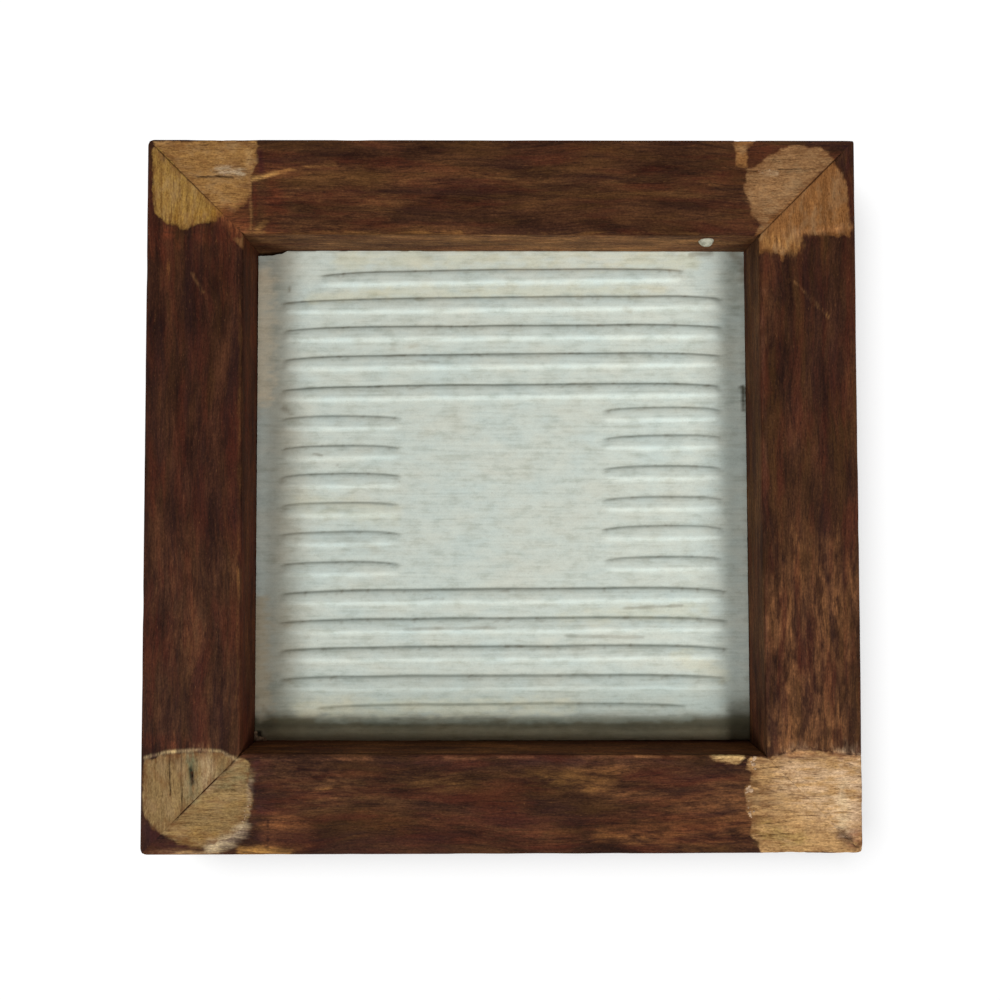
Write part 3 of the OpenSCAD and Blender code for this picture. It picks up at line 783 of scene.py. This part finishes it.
def rib_height(x, y):
    """The ribs' height above the plain back, and the shares of their tops, of their lower flanks that get a
    painted highlight, and of the painted shade line along their upper flanks.
    """
    height, top, lit, shade = (np.zeros(x.shape) for _ in range(4))
    wobble = 0.12 * noise(x / 14, y / 9, 53)
    further = np.where((x > 0) & (y < -30), 0.9, 0)  # the lowest rows reach further right
    left_x, right_x = ROW_X
    for i, (left, right, tall) in enumerate(ROWS):
        slope = END_SLOPE * (right - left) / (right_x - left_x)
        middle = np.interp(x, ROW_X, (left, right)) + slope * (x - np.clip(x, left_x, right_x))
        if i in SHORT_ROWS:
            middle = np.where(x < 0, left + SHORT_SLOPE * (x - left_x), right + SHORT_SLOPE * (x - right_x))
            from_end = np.minimum(RIB_END - np.abs(x), np.abs(x) - FIELD_END)
            reach = 8.0
        else:
            from_end = (FIRST_END if i in (0, len(ROWS) - 1) else RIB_END + further) - np.abs(x)
            reach = 16.0
        from_end = from_end + 0.7 * noise(np.sign(x) * 3.3 + i * 1.7, y / 2, 59)
        inside = from_end > 0
        # Seen from the back, a rib's upper edge curves down to its ends and its lower edge runs straight.
        drawn_in = 1.3 * np.exp(-np.maximum(from_end, 0) / reach * 1.6)
        upper = RIB_W / 2 - drawn_in + wobble
        lower = -RIB_W / 2 + 0.35 * np.exp(-np.maximum(from_end, 0) / 3) + wobble * 0.6
        v = y - middle
        rise = smooth(v, lower, lower + 1.9)
        fall = smooth(upper - v, -0.05, 0.85)
        crown = 1 - 0.16 * smooth(v, lower + 1.6, upper)
        full = (smooth(from_end, -0.2, 3.2) * 0.75 + smooth(from_end, 0, 16) * 0.25) * inside
        # core and soft make the painted shade line along a rib's upper flank; lit below is where a highlight
        # is painted on its lower flank.
        core, soft = bell(upper - v - 0.35, 0.34), 0.6 * bell(upper - v - 0.85, 0.9)
        line = np.maximum(core, soft) * smooth(from_end, -0.2, 1.6) * inside
        height = np.maximum(height, tall * rise * fall * crown * full)
        top = np.maximum(top, rise * smooth(upper - v, 0.2, 0.7) * full)
        lit = np.maximum(lit, 4 * rise * (1 - rise) * fall * full)
        shade = np.maximum(shade, line * (0.75 if i in SHORT_ROWS else 1.0))
    return height, top, lit, shade


def chip_line(x):
    """How far the broken corner of the tile falls short of its back edge."""
    from_corner = x + TILE_HALF
    lost = np.interp(from_corner, [0, 5, 7.5, 9], [1.75, 1.45, 0.9, 0])
    return lost + np.where(lost > 0, 0.12 * noise(from_corner / 0.7, from_corner * 0, 61), 0)


def pits(x, y):
    """Small pits and bumps in the back, as pressed clay has."""
    rng = np.random.default_rng(67)
    height = np.zeros(x.shape)
    for _ in range(PITS):
        px, py = rng.uniform(-PITTED_HALF, PITTED_HALF, 2)
        radius, deep = rng.uniform(0.35, 0.9), rng.uniform(-0.22, 0.1)
        near = (np.abs(x - px) < 4 * radius) & (np.abs(y - py) < 4 * radius)
        height[near] += deep * bell(np.hypot(x[near] - px, y[near] - py), radius)
    return height


def tile_tone(x, y, top, lit, shade):
    """The tone of the tile's back: its ribs with a painted highlight and shade line, painted shade along the
    rails with beige dirt on the left, painted light over the shade by the front wall, and the marks.
    """
    ragged = layered_noise(x / 2.2, y / 1.2, 71)
    whole = smooth(0.5 + 0.5 * layered_noise(x / 5, y / 2, 73), 0.05, 0.6)
    uneven = 0.5 + 0.5 * layered_noise(x / 12, y / 9, 75)
    # Painted shade lies in the recess along the rails, most a little before the front one and in the right
    # front corner; the left band is partly beige dirt. Close to the front wall a paler tone is painted as
    # light over the shade there.
    above, below = smooth(y, 22, 34), smooth(-y, 24, 38)
    left = (0.48 + 0.09 * below - 0.04 * above) * smooth(0.5 * ragged - x, 56 + 5 * above, 69)
    left *= 1 - (0.9 - 0.45 * (above + below)) * smooth(-x, 69, 76)
    right = (0.3 - 0.1 * below) * smooth(0.5 * ragged + x, 66.5, 70.7) * (1 - 0.4 * smooth(x, 71, 76))
    front = 0.28 * ragged + 0.9 * (uneven - 0.5) - 0.004 * x - y
    tone = np.tile(linear(TILE_TONE), (x.size, 1))
    # Besides the ribs' painted highlight and shade line, the side bands, the darkening towards the front and
    # the right front corner are painted shade, and the paler tone by the front wall is painted light.
    for colour, share in (
            (RIB_TOP, top),
            (RIB_PAINTED_LIGHT, lit),
            (RIB_PAINTED_SHADE, shade * (0.36 + 0.3 * uneven)),
            (BROWN_DIRT, shade * 0.55 * smooth(layered_noise(x / 1.6, y / 1.2, 77), 0.2, 0.6)),
            (LEFT_DIRT_AND_SHADE, left),
            (GREY_DIRT_AND_SHADE, right),
            (GREY_DIRT_AND_SHADE, 0.4 * smooth(front, 52, 66)),
            (OLIVE_PAINTED_SHADOW, 0.91 * smooth(front, 66.2, 70.4) * (1 - 0.8 * smooth(front, 72.2, 75.8))),
            (WALL_PAINTED_LIGHT, 0.8 * smooth(front, 71.2, 75)),
            (SOOT_AND_SHADE, 0.75 * smooth(x + 0.4 * ragged, 68.5, 72) * smooth(front, 60, 69))):
        tone = covered(tone, colour, share)
    tone = lay(TILE_MARKS, tone, x, y, lambda width: width * 0.8, ragged, whole)
    # It is a little paler towards the right back corner.
    return tone * (1 + 0.05 * x / 52 + 0.035 * y / 50)[:, None]


def make_tile_back(material):
    """The body of the tile: its ribbed back as a fine grid, plain sides, and a flat underside."""
    x, v = np.meshgrid(np.linspace(-TILE_HALF, TILE_HALF, BACK_COLUMNS), np.linspace(0, 1, BACK_ROWS))
    y = -TILE_HALF + v * (TILE_SIDE + TOP_REACH - chip_line(x))
    x, y = x.ravel(), y.ravel()
    height, top, lit, shade = rib_height(x, y)
    edge = np.minimum(TILE_HALF - np.abs(x), np.minimum(TILE_HALF + y, TILE_HALF + TOP_REACH - y))
    lines = 0.03 * noise(x / 40, y / 0.55, 79) + 0.02 * noise(x / 9, y / 1.6, 83)
    z = BACK_PLANE + height + 0.09 * layered_noise(x / 22, y / 14, 89) - 0.09 + lines + pits(x, y)
    z -= EDGE_DROP * bell(edge, EDGE_ROUND) * (0.8 + 0.3 * noise(x / 1.5, y / 1.5, 97))
    # The back's edge reaches nearly to the side rails, over the body's plain sides.
    reached = smooth(x, TILE_HALF - 3, TILE_HALF) * (RIGHT_REACH - RIGHT_LEAN * y)
    reached -= smooth(-x, TILE_HALF - 3, TILE_HALF) * LEFT_REACH
    points = [np.stack([x + reached, y, z], 1)]
    tones = [tile_tone(x, y, top, lit, shade)]
    faces = grid_faces(BACK_ROWS, BACK_COLUMNS)
    rim = rim_of(BACK_ROWS, BACK_COLUMNS)
    # Down the sides, then in under the glaze: level and inset of each ring.
    levels = [(BACK_PLANE - 0.8, 0.0), (TILE_LOW + 3, 0.02)]
    for a in np.radians((0, 30, 60, 90)):
        up, into = GLAZE_T + TILE_EDGE_R * (1 - math.sin(a)), GLAZE_T + TILE_EDGE_R * (1 - math.cos(a))
        levels.append((TILE_LOW + up, into))
    upper = rim
    for level, inset in levels:
        scale = 1 - inset / TILE_HALF
        lower = np.arange(len(rim)) + sum(len(p) for p in points)
        points.append(np.stack([x[rim] * scale, y[rim] * scale, np.full(len(rim), level)], 1))
        tones.append(np.tile(linear(SIDE_TONE), (len(rim), 1)))
        faces += np.stack([lower, np.roll(lower, -1), np.roll(upper, -1), upper], 1).tolist()
        upper = lower
    faces.append(upper[::-1].tolist())
    return add_piece(
        "tile_back", np.concatenate(points), faces, material, "tile_bisque", ("tile",), sharp=75,
        tone=np.concatenate(tones),
    )


def make_tile_glaze(material):
    """The glaze on the face: a thin shell that turns up round the tile's edge."""
    inset = np.concatenate([[0.0, 0.03, 0.12, 0.3, 0.55, 0.9, TILE_EDGE_R], np.arange(5, TILE_HALF, 5.5)])
    line = np.concatenate([inset - TILE_HALF, (TILE_HALF - inset)[::-1]])
    x, y = (a.ravel() for a in np.meshgrid(line, line))
    side, count = len(line), len(x)
    from_edge = TILE_HALF - np.maximum(np.abs(x), np.abs(y))
    rounded = TILE_EDGE_R - np.sqrt(TILE_EDGE_R**2 - (TILE_EDGE_R - np.clip(from_edge, 0, TILE_EDGE_R)) ** 2)
    wave = 0.05 * (1 + layered_noise(x / 25, y / 25, 101)) * smooth(from_edge, 2, 9)
    # The shell's inside stays just clear of the body.
    thick = GLAZE_T - 0.01
    scale = 1 - thick / TILE_HALF
    outer = np.stack([x, y, TILE_LOW + rounded + wave], 1)
    inner = np.stack([x * scale, y * scale, TILE_LOW + rounded + thick], 1)
    faces = grid_faces(side, side)
    faces += [[count + k for k in f[::-1]] for f in faces]
    rim = rim_of(side, side)
    faces += np.stack([np.roll(rim, -1), rim, rim + count, np.roll(rim, -1) + count], 1).tolist()
    return add_piece("tile_glaze", np.concatenate([outer, inner]), faces, material, "tile_glaze")


def lump(centre, radii, seed, steps, rough):
    """Points and faces of an uneven ball: its half sizes, its steps from top to bottom and its roughness."""
    rng = np.random.default_rng(seed)
    up = np.linspace(0, math.pi, steps + 1)[1:-1]
    turn = np.linspace(0, 2 * math.pi, 2 * steps, endpoint=False)
    a, b = np.meshgrid(up, turn, indexing="ij")
    a, b = a.ravel(), b.ravel()
    swell = 1 + rough * noise(a * 2.2 + rng.uniform(0, 9), np.cos(b) * 1.5 + np.sin(b) * 1.1 + 5, seed)
    ball = np.stack([np.sin(a) * np.cos(b), np.sin(a) * np.sin(b), np.cos(a)], 1) * swell[:, None]
    ball = np.concatenate([ball, [[0, 0, 1], [0, 0, -1]]])
    top, bottom, last = len(a), len(a) + 1, len(a) - 2 * steps
    faces = grid_faces(steps - 1, 2 * steps, closed=True)
    for k in range(2 * steps):
        after = (k + 1) % (2 * steps)
        faces += [[top, after, k], [bottom, last + k, last + after]]
    return ball * np.array(radii) + np.array(centre), faces


def joined(parts):
    """Points and faces of several parts as those of one."""
    points, faces, start = [], [], 0
    for some_points, some_faces in parts:
        points.append(some_points)
        faces += [[start + k for k in f] for f in some_faces]
        start += len(some_points)
    return np.concatenate(points), faces


def make_glue_drop(material):
    """The hardened drop on the wall of the back rail, a little run down."""
    points, faces = lump((0, 0, 0), (DROP_W / 2, DROP_OUT, DROP_W / 2), 103, 14, 0.12)
    # It is flat where it sits on the wood, and thicker below.
    points[:, 1] = np.where(points[:, 1] > 0, points[:, 1] * 0.12, points[:, 1] * (1 - 0.12 * points[:, 2]))
    points[:, 1] = np.maximum(points[:, 1], -DROP_OUT)
    points += np.array((DROP_X, OPENING_HALF - 0.1, RAIL_H - DROP_DOWN))
    return add_piece("glue_drop_hardened", points, faces, material, "dried_glue", ("glue_drop",))


# Crumbs of glue and pad along the edges of the torn patches: how many, their size, and the points of the line
# that they lie by, give or take CRUMB_SPREAD.
CRUMB_SPREAD = 0.45
CRUMB_LINES = (
    (24, 0.24, -73.4, -89, -74.2, -95, -79, -100.8, -86, -103.2),
    (16, 0.26, 71.6, -78, 71.4, -86, 71.2, -93, 72.4, -99), (6, 0.55, 73.6, -77.2, 73.2, -80),
    (6, 0.5, 71.6, -85.6, 71.8, -88), (6, 0.45, 72.2, -92, 72.8, -95.5), (6, 0.2, -86, 95.4, -78, 95),
    (5, 0.2, 77.6, 95.6, 82.6, 95), (3, 0.18, -95, 78.4, -86, 80.6),
)


def make_crumbs(material):
    """Crumbs, sunk a little into the torn wood, as one piece."""
    rng = np.random.default_rng(107)
    parts = []
    for count, size, *points in CRUMB_LINES:
        line = np.array(pairs(points))
        lengths = np.concatenate([[0], np.cumsum(np.hypot(*np.diff(line, axis=0).T))])
        for place in rng.uniform(0, lengths[-1], count):
            x, y = (np.interp(place, lengths, line[:, k]) + rng.normal(0, CRUMB_SPREAD) for k in (0, 1))
            r = size * rng.uniform(0.5, 1.3)
            centre, radii = (x, y, RAIL_H - PATCH_DEPTH - 0.12), (r * 1.2, r, min(r * 0.8, PATCH_DEPTH))
            parts.append(lump(centre, radii, int(rng.integers(1000)), 4, 0.3))
    return add_piece("glue_crumbs", *joined(parts), material, "dried_glue")


# Glue pressed out between the tile and the rails: both ends of each bead on the tile's edge, and its size.
BEADS = (((-75.9, -75.6), (-73.6, -75.7), 1.05), ((-76.1, -75.6), (-76.1, -73.5), 0.5))


def make_beads(material):
    """The beads of glue, each as a row of lumps, as one piece."""
    rng = np.random.default_rng(109)
    parts = []
    for (ax, ay), (bx, by), size in BEADS:
        steps = max(2, int(math.hypot(bx - ax, by - ay) / 0.5))
        for k in range(steps + 1):
            t = k / steps
            r = size * rng.uniform(0.6, 1.0)
            centre = (ax + (bx - ax) * t, ay + (by - ay) * t, BACK_PLANE - 0.1)
            parts.append(lump(centre, (r * 1.3, r, r * 0.9), int(rng.integers(1000)), 5, 0.25))
    return add_piece("glue_beads", *joined(parts), material, "dried_glue")


# The camera that gives the photograph's frame. Its lens is a share of the sensor.
CAMERA_AT, CAMERA_TURN = (-1.84, -9.48, 278.4), (1.661, -0.283, -0.047)
SENSOR, FOCAL_SHARE, NEAREST_SEEN = 36.0, 0.86, 10.0

# Two lamps left and right of a copy stand, both nearer than the object. The angles are from the vertical.
LAMP_DISTANCE, LAMP_X_ANGLE, LAMP_Y_ANGLE = 1000.0, 37.0, 25.0
LAMP_SIZE = (350.0, 480.0)
LAMP_SHARE, WORLD_SHARE = 0.45, 0.10
FLOOR_SIDE, FLOOR_GLOW = 6000.0, 0.5
FLOOR_LIGHT_TURN, FLOOR_LIGHT_SPREAD = (-24.0, 19.0), 40.0


def add_camera():
    """The photograph's camera, as the scene's own."""
    data = bpy.data.cameras.new("camera")
    data.sensor_width = SENSOR
    data.lens = SENSOR * FOCAL_SHARE
    data.clip_start = NEAREST_SEEN * MM
    camera = add_object("camera", data)
    camera.location = Vector(CAMERA_AT) * MM
    camera.rotation_euler = [math.radians(a) for a in CAMERA_TURN]
    bpy.context.scene.camera = camera


def tilted(right, back):
    """The direction that leans from straight up by these angles."""
    return Vector((math.tan(math.radians(right)), math.tan(math.radians(back)), 1)).normalized()


def add_light(name, kind, toward, distance, lit, **settings):
    """A light at a distance from the object. It lights only what is in the collection lit."""
    data = bpy.data.lights.new(name, kind)
    for key, value in settings.items():
        setattr(data, key, value)
    light = add_object(name, data)
    light.location = toward * distance
    light.rotation_euler = toward.to_track_quat("Z", "Y").to_euler()
    light.light_linking.receiver_collection = lit


def add_lamp(name, side, lit):
    """A lamp that gives a level surface its share of full light."""
    toward, distance = tilted(side * LAMP_X_ANGLE, -LAMP_Y_ANGLE), LAMP_DISTANCE * MM
    energy = LAMP_SHARE * math.pi**2 * distance**2 / toward.z
    size, size_y = (s * MM for s in LAMP_SIZE)
    add_light(name, "AREA", toward, distance, lit, shape="RECTANGLE", size=size, size_y=size_y, energy=energy)


def add_floor_light(floor):
    """Soft light for the floor alone, from the upper left, for the shadow at the right and below."""
    only = bpy.data.collections.new("floor_only")
    only.objects.link(floor)
    toward = tilted(*FLOOR_LIGHT_TURN)
    angle = math.radians(FLOOR_LIGHT_SPREAD)
    add_light("floor_light", "SUN", toward, 0.0, only, angle=angle, energy=math.pi / toward.z)


def add_floor():
    """A white table. Part of its white is its own, so that it is white from every side."""
    s = Shader("white_table")
    lit = 1 - FLOOR_GLOW
    glow = s.add("Emission", {"Color": (1, 1, 1, 1), "Strength": FLOOR_GLOW})
    paper = s.add("BsdfDiffuse", {"Color": (lit, lit, lit, 1)})
    both = s.add("AddShader", {0: glow.outputs[0], 1: paper.outputs[0]})
    s.add("OutputMaterial", {"Surface": both.outputs[0]})
    side = FLOOR_SIDE / 2 * MM
    mesh = bpy.data.meshes.new("floor")
    corners = [(-side, -side, 0), (side, -side, 0), (side, side, 0), (-side, side, 0)]
    mesh.from_pydata(corners, [], [(0, 1, 2, 3)])
    mesh.materials.append(s.owner)
    floor = add_object("floor", mesh)
    return floor


def add_world():
    """Even light on the object, and pure white where the camera or a reflection sees past the floor."""
    s = Shader("world", "worlds")
    rays = s.add("LightPath").outputs
    seen = s.math("MAXIMUM", rays["Is Camera Ray"], rays["Is Transmission Ray"])
    seen = s.math("MAXIMUM", seen, rays["Is Glossy Ray"])
    strength = s.range(seen, 0.0, 1.0, WORLD_SHARE)
    light = s.add("Background", {"Color": (1, 1, 1, 1), "Strength": strength})
    s.add("OutputWorld", {"Surface": light.outputs[0]})
    bpy.context.scene.world = s.owner


add_camera()
wood, bisque, glaze = wood_material(), bisque_material(), glaze_material()
glue = glue_material("dried_glue", (150, 149, 132), (190, 189, 170), 0.2)
old_glue = glue_material("soiled_glue", (126, 100, 78), (202, 170, 138), 0.05)
steel, putty = steel_material(), putty_material()

pieces = [make_rail(name, wood) for name in RAILS]
pieces += [make_tile_back(bisque), make_tile_glaze(glaze)]
pieces += [make_glue_drop(glue), make_crumbs(old_glue), make_beads(old_glue)]
for node, material in (("tile_adhesive", glue), ("mitre_brads", steel), ("brad_putty", putty)):
    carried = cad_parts[node]
    carried.data.materials.clear()
    carried.data.materials.append(material)
    pieces.append(carried)

object_only = bpy.data.collections.new("object_only")
for piece in pieces:
    object_only.objects.link(piece)
add_lamp("lamp_left", -1, object_only)
add_lamp("lamp_right", 1, object_only)
floor = add_floor()
add_floor_light(floor)
add_world()
bpy.context.scene.view_settings.view_transform = "Standard"
